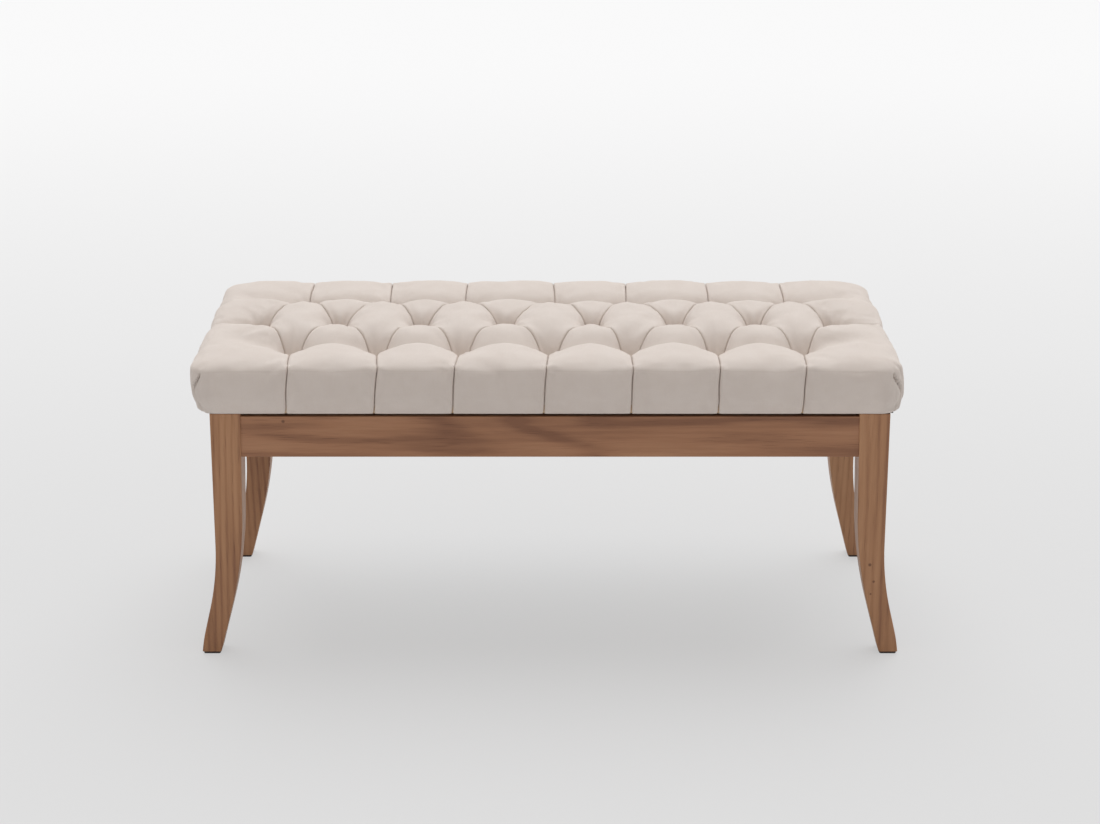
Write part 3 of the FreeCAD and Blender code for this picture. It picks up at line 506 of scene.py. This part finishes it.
def creases(p, drop, d, r, fade):
    # unevenness and gathers, as a height above the smooth form
    c = crease
    place = Vector((p.x, p.y, -drop))
    height = c["broad"] * ripple(place, c["broadScale"], c["broadSeed"])
    height += c["small"] * ripple(place, c["smallScale"], c["smallSeed"])
    height += c["pleat"] * ripple(place, c["pleatScale"], c["pleatSeed"]) * fading(d, c["pleatReach"]) * fade
    height += c["ring"] * ripple(place, c["ringScale"], c["ringSeed"]) * bell(r - c["ringAt"], c["ringWide"])
    if drop <= 0:
        nearest = min(allPits, key=lambda pit: (p - pit).length)
        angle = math.atan2(p.y - nearest.y, p.x - nearest.x)
        seed = nearest.x * 91.7 + nearest.y * 47.3
        spokes = math.sin(angle * c["spokes"] + seed) * 0.6 + math.sin(angle * c["spokesMore"] + seed * 2.1) * 0.4
        inPit = fading(max(r - c["spokeEnds"], 0), c["spokeReach"]) * smooth((r - c["spokeFrom"]) / c["spokeOver"])
        height += c["spoke"] * spokes * inPit
    return height


def shapeCushion(p, drop, pleats, feet, tuck=None):
    # p is in plan, from the cushion's own middle; drop is how far down the side; feet are places along the edge
    near, out = edgeDistance(p)
    r = min((p - pit).length for pit in allPits)
    if drop > 0:
        d = min([(p - foot).length for foot in feet] or [1.0])
    else:
        d = min(alongSegment(p, a, b) for a, b in pleats)
    groove = pleat["groove"] * fading(d, pleat["grooveWide"])
    valley = pleat["valley"] * math.exp(-(d / pleat["valleyWide"]) ** pleat["valleyPower"])
    fade = smooth((r - pleat["fadeFrom"]) / pleat["fadeOver"])
    cut = slit(d) * fade + (cornerFold(p, drop, tuck) if tuck else 0.0)
    flat, z = p.copy(), topHeight(p)
    if drop > 0:
        share = drop / sideHeight
        z = mix(z, cushion["bottom"], min(1.0, share))
        drawn = mix(side["drawnInEnd"], side["drawnInLong"], abs(out.y))
        flat -= out * drawn * smooth((share - side["drawnFrom"]) / side["drawnOver"])
        flat -= out * side["roundIn"] * smooth((share - side["roundFrom"]) / (1 - side["roundFrom"]))
        direction = Vector((out.x, out.y, 0.0))
        bulge = side["bulge"] * math.sin(math.pi * min(1.0, share)) * smooth(d / side["bulgeFrom"])
        sink = valley * (1 - share) + groove - bulge
    else:
        tilt = smooth(1 - near / cushion["turnsOut"])
        direction = Vector((out.x * tilt, out.y * tilt, 1 - tilt)).normalized()
        outer = smooth((abs(p.y) - dip["outerFrom"]) / dip["outerOver"])
        alongDip, puffDip = pitDips(r, mix(dip["farShareMiddle"], dip["farShareOuter"], outer))
        swell = min(pleat["swellMost"], max(pleat["swellShare"] * r, pleat["swellLeast"]))
        sink = mix(alongDip, puffDip, smooth(d / swell)) + groove
        sink += valley * smooth((pleat["valleyEnds"] - near) / pleat["valleyFades"])
    bumps = creases(p, drop, d, r, fade) * (1 - smooth((drop - side["smoothFrom"]) / side["smoothOver"]))
    where = Vector((flat.x, flat.y, z)) - direction * (sink + cut - bumps)
    # the cushion sits a little to the left of its board, which it still covers at the bottom
    where.x += cushion["shift"] * (1 - 0.5 * smooth(drop / sideHeight * 1.25 - 0.25))
    return where


class Patchwork:
    # grids of points that meet on the pleats
    def __init__(self):
        self.mesh = bmesh.new()
        self.uv = self.mesh.loops.layers.uv.new("weave")
        self.flat = {}

    def point(self, p, drop, pleats, feet, tuck=None):
        vert = self.mesh.verts.new(shapeCushion(p, drop, pleats, feet, tuck))
        out = edgeDistance(p)[1]
        self.flat[vert] = (p.x + out.x * max(drop, 0), p.y + out.y * max(drop, 0))
        return vert

    def face(self, corners):
        corners = [v for i, v in enumerate(corners) if v is not corners[i - 1]]
        if len(corners) < 3:
            return
        made = self.mesh.faces.new(corners)
        for loop in made.loops:
            loop[self.uv].uv = self.flat[loop.vert]

    def grid(self, rows):
        for lower, upper in zip(rows, rows[1:]):
            for i in range(len(lower) - 1):
                self.face([lower[i], lower[i + 1], upper[i + 1], upper[i]])


work = Patchwork()
seams, seamFeet = [], [Vector((-cushion["halfLength"], 0.0)), Vector((cushion["halfLength"], 0.0))]

# full diamonds between the three rows
for i in range(len(front)):
    a, b, c, d = front[i], middle[i + 1], back[i], middle[i]
    pleats = [(a, b), (b, c), (c, d), (d, a)]
    seams += pleats
    rows = []
    for t in puffShares:
        left, right = a.lerp(d, t), b.lerp(c, t)
        rows.append([work.point(left.lerp(right, s), 0, pleats, []) for s in puffShares])
    work.grid(rows)

# strips: from a pit of the middle row, past two outer pits, over the edge and down to the bottom
longSides = ((-1, front, cushion["frontTops"], cushion["frontFeet"]),
             (1, back, cushion["backTops"], cushion["backFeet"]))
for sign, pits, tops, feet in longSides:
    depth = sign * cushion["halfDepth"]
    for i in range(len(pits) - 1):
        a, b, tip = pits[i], pits[i + 1], middle[i + 1]
        topA, topB = (Vector((tops[k] - cushion["shift"], depth)) for k in (i, i + 1))
        footA, footB = (Vector((feet[k] - cushion["shift"] / 2, depth)) for k in (i, i + 1))
        pleats = [(a, tip), (b, tip), (a, topA), (b, topB)]
        seams += pleats[2:]
        seamFeet += [topA, topB, footA, footB]
        rows = []
        for t in puffShares:
            left, right = tip.lerp(a, t), tip.lerp(b, t)
            if t == 0:
                rows.append([work.point(tip, 0, pleats, [])] * len(puffShares))
            else:
                rows.append([work.point(left.lerp(right, s), 0, pleats, []) for s in puffShares])
        for t in edgeShares[1:]:
            left, right = a.lerp(topA, t), b.lerp(topB, t)
            rows.append([work.point(left.lerp(right, s), 0, pleats, []) for s in puffShares])
        for drop in sideDrops:
            left, right = topA.lerp(footA, drop / sideHeight), topB.lerp(footB, drop / sideHeight)
            rows.append([work.point(left.lerp(right, s), drop, pleats, [left, right]) for s in puffShares])
        if sign > 0:
            rows = [row[::-1] for row in rows]
        work.grid([row[::-1] for row in rows])


def outlinePoint(start, s):
    # a point on the outline of one quarter, s metres on from start towards the middle of the end
    straight = roundX - start
    if s <= straight:
        return Vector((start + s, cushion["halfDepth"]))
    if s <= straight + bend:
        turn = (s - straight) / cushion["corner"]
        return Vector((roundX + cushion["corner"] * math.sin(turn), roundY + cushion["corner"] * math.cos(turn)))
    return Vector((cushion["halfLength"], roundY - (s - straight - bend)))


# the corner's columns of points: so many match the puffs beside it at each end, and the rest are spread out
columnSet = {"matched": 12, "margin": 0.003, "finest": 0.0008, "coarsest": 0.0050,
             "fineHalf": 0.011, "spread": 0.16, "least": 0.0004}


def cornerColumns(total, tuck):
    # places along the outline of a corner, with more columns at its tuck
    c = columnSet
    last, ends = len(puffShares) - 1, c["matched"] - 1
    steps = [share * puffWidth / 1000 for share in pleatSteps[:c["matched"]]]
    fixed = {i: steps[i] for i in range(ends + 1)}
    fixed.update({last - i: total - steps[i] for i in range(ends + 1)})
    for i in range(ends + 1, last - ends):
        fixed[i] = mix(fixed[ends], fixed[last - ends], (i - ends) / (last - 2 * ends))
    extra, s = [], steps[ends] + c["margin"]
    while s < total - steps[ends] - c["margin"]:
        extra.append(s)
        s += min(c["coarsest"], c["finest"] + max(0.0, abs(s - tuck) - c["fineHalf"]) * c["spread"])
    columns = []
    for i in range(last + 1):
        columns.append((i, fixed[i], puffShares[i]))
        if ends <= i < last - ends:
            for s in extra:
                if fixed[i] + c["least"] < s < fixed[i + 1] - c["least"]:
                    t = (s - fixed[i]) / (fixed[i + 1] - fixed[i])
                    columns.append((None, s, mix(puffShares[i], puffShares[i + 1], t)))
    return columns


# corners: the columns are added from one row on, because the rows before it lie close to the pit
firstFineRow = 10
for sx in (-1, 1):
    for sy, pits, tops, feet in longSides:
        k = 0 if sx < 0 else -1

        def mirror(p):
            return Vector((sx * p.x, sy * p.y))

        pit, endPit = mirror(pits[k]), mirror(middle[k])
        top, foot = sx * (tops[k] - cushion["shift"]), sx * (feet[k] - cushion["shift"] / 2)
        straight = roundX - top
        total = straight + bend + roundY

        def tuck(drop):
            lean = mix(fold["topAt"], fold["bottomAt"], smooth(drop / fold["leanOver"]))
            return mirror(outlinePoint(top, straight + lean))

        topPoint, endPoint = Vector((top, cushion["halfDepth"])), Vector((cushion["halfLength"], 0.0))
        pleats = [(mirror(pit), mirror(endPit)), (mirror(pit), mirror(topPoint)), (mirror(endPit), mirror(endPoint))]
        seams.append(pleats[2])
        columns = cornerColumns(total, straight + fold["middleAt"])
        coarse = [column for column in columns if column[0] is not None]
        rows = []
        for j, t in enumerate(edgeShares):
            row = []
            for _, s, share in coarse if j < firstFineRow else columns:
                p = pit.lerp(endPit, share).lerp(outlinePoint(top, s), t)
                row.append(work.point(mirror(p), 0, pleats, [], tuck))
            rows.append(row)
        for drop in sideDrops:
            lean = (foot - top) * drop / sideHeight
            pleatFeet = [mirror(Vector((top + lean, cushion["halfDepth"]))), mirror(endPoint)]
            row = []
            for _, s, _ in columns:
                p = outlinePoint(top, s)
                p.x += lean * max(0.0, 1 - s / side["leanOver"])
                row.append(work.point(mirror(p), drop, pleats, pleatFeet, tuck))
            rows.append(row)
        flip = sx * sy > 0
        for j in range(len(rows) - 1):
            lower, upper = rows[j], rows[j + 1]
            if j == firstFineRow - 1:
                # coarse row against the fine one: each face takes all the fine points on its far edge
                index = [place for place, column in enumerate(columns) if column[0] is not None]
                for i in range(len(lower) - 1):
                    corners = [lower[i], lower[i + 1]] + upper[index[i]:index[i + 1] + 1][::-1]
                    work.face(corners if flip else corners[::-1])
            else:
                for i in range(len(lower) - 1):
                    corners = [lower[i], lower[i + 1], upper[i + 1], upper[i]]
                    work.face(corners if flip else corners[::-1])

bmesh.ops.remove_doubles(work.mesh, verts=work.mesh.verts, dist=cushion["weld"])
rim = [e for e in work.mesh.edges if e.is_boundary]
print("cushion", len(work.mesh.verts), "points", len(rim), "open edges")
made = bmesh.ops.contextual_create(work.mesh, geom=rim)
bmesh.ops.recalc_face_normals(work.mesh, faces=work.mesh.faces)
for face in work.mesh.faces:
    face.smooth = True
for face in made["faces"]:
    face.smooth = False
cushionMesh = bpy.data.meshes.new("seat_cushion")
work.mesh.to_mesh(cushionMesh)
work.mesh.free()
seatCushion = bpy.data.objects.new("seat_cushion", cushionMesh)
scene.collection.objects.link(seatCushion)
seatCushion.data.materials.append(finishes["seat_fabric"])

# the filling's cloth simulation: held is what stays still, and each point follows some points of the copy
filling = {
    "voxel": 0.0052, "frames": 20, "quality": 5, "mass": 0.25, "pressure": 4.0, "growth": -0.025,
    "tension": 12, "shear": 4, "bending": 0.3,
    "heldPleat": 0.0035, "heldPit": 0.012, "heldBelow": 0.386, "atEdge": 0.004,
    "followed": 6, "soften": 0.002, "share": 0.75, "most": 0.0060, "stillBelow": 0.3830,
}


def selectOnly(piece):
    bpy.ops.object.select_all(action="DESELECT")
    piece.select_set(True)
    bpy.context.view_layer.objects.active = piece


def holdStill(copy):
    held = copy.vertex_groups.new(name="held")
    for vert in copy.data.vertices:
        p = Vector((vert.co.x - cushion["shift"], vert.co.y))
        if edgeDistance(p)[0] > filling["atEdge"]:
            d = min(alongSegment(p, a, b) for a, b in seams)
        else:
            d = min((p - foot).length for foot in seamFeet)
        r = min((p - pit).length for pit in allPits)
        if d < filling["heldPleat"] or r < filling["heldPit"] or vert.co.z < filling["heldBelow"]:
            held.add([vert.index], 1.0, "REPLACE")
    return held


def follow(piece, before, moved):
    # carries the movement of the copy's points over to the points of the piece
    tree = kdtree.KDTree(len(before))
    for i, start in enumerate(before):
        tree.insert(start, i)
    tree.balance()
    most = 0.0
    for vert in piece.data.vertices:
        if vert.co.z < filling["stillBelow"]:
            continue
        move, total = Vector(), 0.0
        for _, i, gap in tree.find_n(vert.co, filling["followed"]):
            weight = 1 / (gap + filling["soften"]) ** 2
            move += moved[i] * weight
            total += weight
        move = move / total * filling["share"]
        if move.length > filling["most"]:
            move = move * (filling["most"] / move.length)
        most = max(most, move.length)
        vert.co += move
    print("puffed up by up to", round(most * 1000, 1), "mm")


def puffUp(piece):
    # the simulation runs on an evenly meshed copy, and the fine mesh follows it
    copy = bpy.data.objects.new("puffing", piece.data.copy())
    scene.collection.objects.link(copy)
    selectOnly(copy)
    even = copy.modifiers.new("even", "REMESH")
    even.mode, even.voxel_size = "VOXEL", filling["voxel"]
    bpy.ops.object.modifier_apply(modifier=even.name)
    before = [vert.co.copy() for vert in copy.data.vertices]
    held = holdStill(copy)
    cloth = copy.modifiers.new("filling", "CLOTH")
    cloth.settings.quality, cloth.settings.mass = filling["quality"], filling["mass"]
    cloth.settings.tension_stiffness = cloth.settings.compression_stiffness = filling["tension"]
    cloth.settings.shear_stiffness, cloth.settings.bending_stiffness = filling["shear"], filling["bending"]
    cloth.settings.use_pressure, cloth.settings.uniform_pressure_force = True, filling["pressure"]
    cloth.settings.shrink_min = filling["growth"]
    cloth.settings.vertex_group_mass = held.name
    cloth.settings.effector_weights.gravity = 0
    cloth.collision_settings.use_collision = False
    cloth.point_cache.frame_start, cloth.point_cache.frame_end = 1, filling["frames"]
    for step in range(1, filling["frames"] + 1):
        scene.frame_set(step)
    bpy.ops.object.modifier_apply(modifier=cloth.name)
    follow(piece, before, [vert.co - start for vert, start in zip(copy.data.vertices, before)])
    bpy.data.objects.remove(copy)
    scene.frame_set(1)


puffUp(seatCushion)
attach(seatCushion, "root")
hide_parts("seat_cover", "seat_foam")

# covered buttons; rings are the dome's insets with their rises, and the folds run down the rim
button = {
    "radius": 0.0098, "height": 0.0062, "sits": 0.4142, "sides": 32,
    "rings": ((0.0012, 0.0009), (0.0026, 0.0007), (0.0026, 0.0003)), "underRing": 0.0022,
    "bevel": 0.0009, "bevelFrom": 40, "folds": 9, "foldDepth": 0.014, "foldFrom": 0.6, "foldOver": 0.4,
    "tilt": 0.05, "turn": 6.28,
}


def selectFacing(piece, up):
    # the flat faces that look up, or down
    bpy.ops.mesh.select_all(action="DESELECT")
    grid = bmesh.from_edit_mesh(piece.data)
    for face in grid.faces:
        face.select = face.normal.z * up > 0.9
    bmesh.update_edit_mesh(piece.data)


def makeButton():
    bpy.ops.object.select_all(action="DESELECT")
    bpy.ops.mesh.primitive_cylinder_add(vertices=button["sides"], radius=button["radius"], depth=button["height"],
                                        location=(0, 0, button["height"] / 2))
    piece = bpy.context.active_object
    bpy.ops.object.transform_apply(location=True, rotation=True, scale=True)
    bpy.ops.object.mode_set(mode="EDIT")
    selectFacing(piece, 1)
    for inset, rise in button["rings"]:
        bpy.ops.mesh.inset(thickness=inset, depth=rise)
    selectFacing(piece, -1)
    bpy.ops.mesh.inset(thickness=button["underRing"], depth=0.0)
    bpy.ops.object.mode_set(mode="OBJECT")
    bevel = piece.modifiers.new("round", "BEVEL")
    bevel.width, bevel.segments = button["bevel"], 2
    bevel.limit_method, bevel.angle_limit = "ANGLE", math.radians(button["bevelFrom"])
    bpy.ops.object.modifier_apply(modifier=bevel.name)
    # the covering is gathered in small folds down the rim
    for vert in piece.data.vertices:
        turn = math.atan2(vert.co.y, vert.co.x)
        out = Vector((vert.co.x, vert.co.y)).length / button["radius"]
        rim = smooth((out - button["foldFrom"]) / button["foldOver"])
        pinch = 1 + button["foldDepth"] * math.cos(turn * button["folds"]) * rim
        vert.co.x *= pinch
        vert.co.y *= pinch
    bpy.ops.object.shade_smooth()
    return piece


firstButton = makeButton()
random.seed(5)
rowPlaces = (("front", -cushion["rowAt"]), ("middle", 0.0), ("back", cushion["rowAt"]))
for name, y in rowPlaces:
    copies = []
    for x in cushion[name + "Pits"]:
        copy = bpy.data.objects.new("button", firstButton.data.copy())
        scene.collection.objects.link(copy)
        tilted = Matrix.Rotation(random.uniform(-button["tilt"], button["tilt"]), 4, "X")
        tip = tilted @ Matrix.Rotation(random.uniform(0, button["turn"]), 4, "Z")
        copy.data.transform(Matrix.Translation((x, y, button["sits"])) @ tip)
        copies.append(copy)
    bpy.ops.object.select_all(action="DESELECT")
    for copy in copies:
        copy.select_set(True)
    bpy.context.view_layer.objects.active = copies[0]
    bpy.ops.object.join()
    buttons = copies[0]
    buttons.name = "covered_buttons_" + name
    buttons.data.materials.clear()
    buttons.data.materials.append(finishes["button_fabric"])
    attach(buttons, "root")
    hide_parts(f"buttons_{name}_row")
bpy.data.objects.remove(firstButton)
print("buttons")

# dust cover: flat where it is stapled at its border, with a slight sag inside
low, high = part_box("dust_cover")
dust = {"sag": 0.0035, "thick": 0.0005, "border": 0.045, "slopeX": 0.12, "slopeY": 0.09, "loose": 0.0006,
        "clear": 0.0001}
bpy.ops.object.select_all(action="DESELECT")
bpy.ops.mesh.primitive_grid_add(x_subdivisions=96, y_subdivisions=40, size=1, location=(0, 0, 0))
dustCover = bpy.context.active_object
dustCover.name = "dust_cover_cloth"
halfX, halfY = (high[0] - low[0]) / 2, (high[1] - low[1]) / 2
for vert in dustCover.data.vertices:
    x, y = vert.co.x * 2 * halfX, vert.co.y * 2 * halfY
    inside = smooth((halfX - dust["border"] - abs(x)) / dust["slopeX"])
    inside *= smooth((halfY - dust["border"] - abs(y)) / dust["slopeY"])
    loose = dust["loose"] * noise.noise(Vector((x * 9, y * 15, 1.7))) * smooth(inside * 3)
    vert.co = Vector((x, y, high[2] - dust["clear"] - dust["sag"] * inside + loose))
wall = dustCover.modifiers.new("cloth", "SOLIDIFY")
wall.thickness, wall.offset = dust["thick"], -1
selectOnly(dustCover)
bpy.ops.object.modifier_apply(modifier=wall.name)
bpy.ops.object.shade_smooth()
dustCover.data.materials.append(finishes["dust_fabric"])
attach(dustCover, "root")
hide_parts("dust_cover")
print("dust cover")

# floor, light and camera; the floor's tone is a painted light gradient, darker in front of the bench and brighter
# far off, and glow is how much of that tone the camera sees as a painted glow, so that the shadow stays pale
studio = {
    "floor": 9.0, "sky": 0.475, "backdrop": 0.94, "warm": (1, 0.948, 0.918), "plain": (1, 1, 1), "glow": 0.68,
    "sun": 2.02, "sunSize": 60.0, "sunColour": (1.0, 1.03, 1.06), "sunTips": (-22, 4),
    "floorTones": [(0.0, (0.72, 0.72, 0.72)), (1.0, (0.93, 0.93, 0.93)), (0.3, (0.80, 0.80, 0.80))],
    "toneMiddle": 0.6, "toneReach": 5.1,
}


def directRays(start):
    # 1 for what the camera sees directly, in metal or through glass, and 0 for the light that falls on things
    rays = start.add("LightPath").out.node.outputs
    seen = Shade(start.tree, rays["Is Camera Ray"])
    for name in ("Is Glossy Ray", "Is Transmission Ray"):
        seen = seen.maths("MAXIMUM", seen, Shade(start.tree, rays[name]))
    return seen


bpy.ops.object.select_all(action="DESELECT")
bpy.ops.mesh.primitive_circle_add(vertices=96, radius=studio["floor"], fill_type="NGON", location=(0, 0, 0))
floor = bpy.context.active_object
floor.name = "studio_floor"
floorMaterial, start, surface = newMaterial("studio_floor", Specular_IOR_Level=0.2)
place = start.add("TexCoord", output=3)
x, y = place.axes()[:2]
# painted light falloff: the floor is darkest at a point in front of the bench and brighter further off
away = (((x * 0.5) ** 2.0 + (y + studio["toneMiddle"]) ** 2.0) ** 0.5).between(0.0, studio["toneReach"])
tone = away.add("ValToRGB", {0: away}, stops=studio["floorTones"])
finishMaterial(surface, tone, 0.8 + place.noise(3.0) * 0.1)
# painted glow: for direct rays the floor shows its painted tone as emission, which lightens the bench's shadow
glow = start.add("Emission", {"Color": tone, "Strength": 1.0})
lit = Shade(start.tree, surface.outputs[0])
blend = start.add("MixShader", {0: directRays(start) * studio["glow"], 1: lit, 2: glow})
start.tree.links.new(blend.out, start.tree.nodes["Material Output"].inputs["Surface"])
floor.data.materials.append(floorMaterial)

world = bpy.data.worlds.new("studio")
scene.world = world
world.use_nodes = True
background = world.node_tree.nodes["Background"]
sky = Shade(world.node_tree)
pale = directRays(sky)
level = studio["sky"] + pale * (studio["backdrop"] - studio["sky"])
colour = sky.flatColour(studio["warm"]).mixed(sky.flatColour(studio["plain"]), pale)
world.node_tree.links.new(colour.out, background.inputs["Color"])
world.node_tree.links.new(level.out, background.inputs["Strength"])

sun = bpy.data.objects.new("overhead", bpy.data.lights.new("overhead", "SUN"))
sun.data.energy, sun.data.angle = studio["sun"], math.radians(studio["sunSize"])
sun.data.color = studio["sunColour"]
sun.rotation_euler = (*(math.radians(tip) for tip in studio["sunTips"]), 0)
scene.collection.objects.link(sun)

# the camera looks at the bench as the photograph does, which is 1100 pixels wide
lens = {"focalPixels": 2100.0, "picture": 1100, "sensor": 36.0, "down": 20.598, "back": 2.9756, "up": 1.4312}
camera = bpy.data.objects.new("camera", bpy.data.cameras.new("camera"))
camera.location = (0, -lens["back"], lens["up"])
camera.rotation_euler = (math.radians(90 - lens["down"]), 0, 0)
camera.data.sensor_width = lens["sensor"]
camera.data.lens = lens["sensor"] * lens["focalPixels"] / lens["picture"]
scene.collection.objects.link(camera)
scene.camera = camera
print("studio")
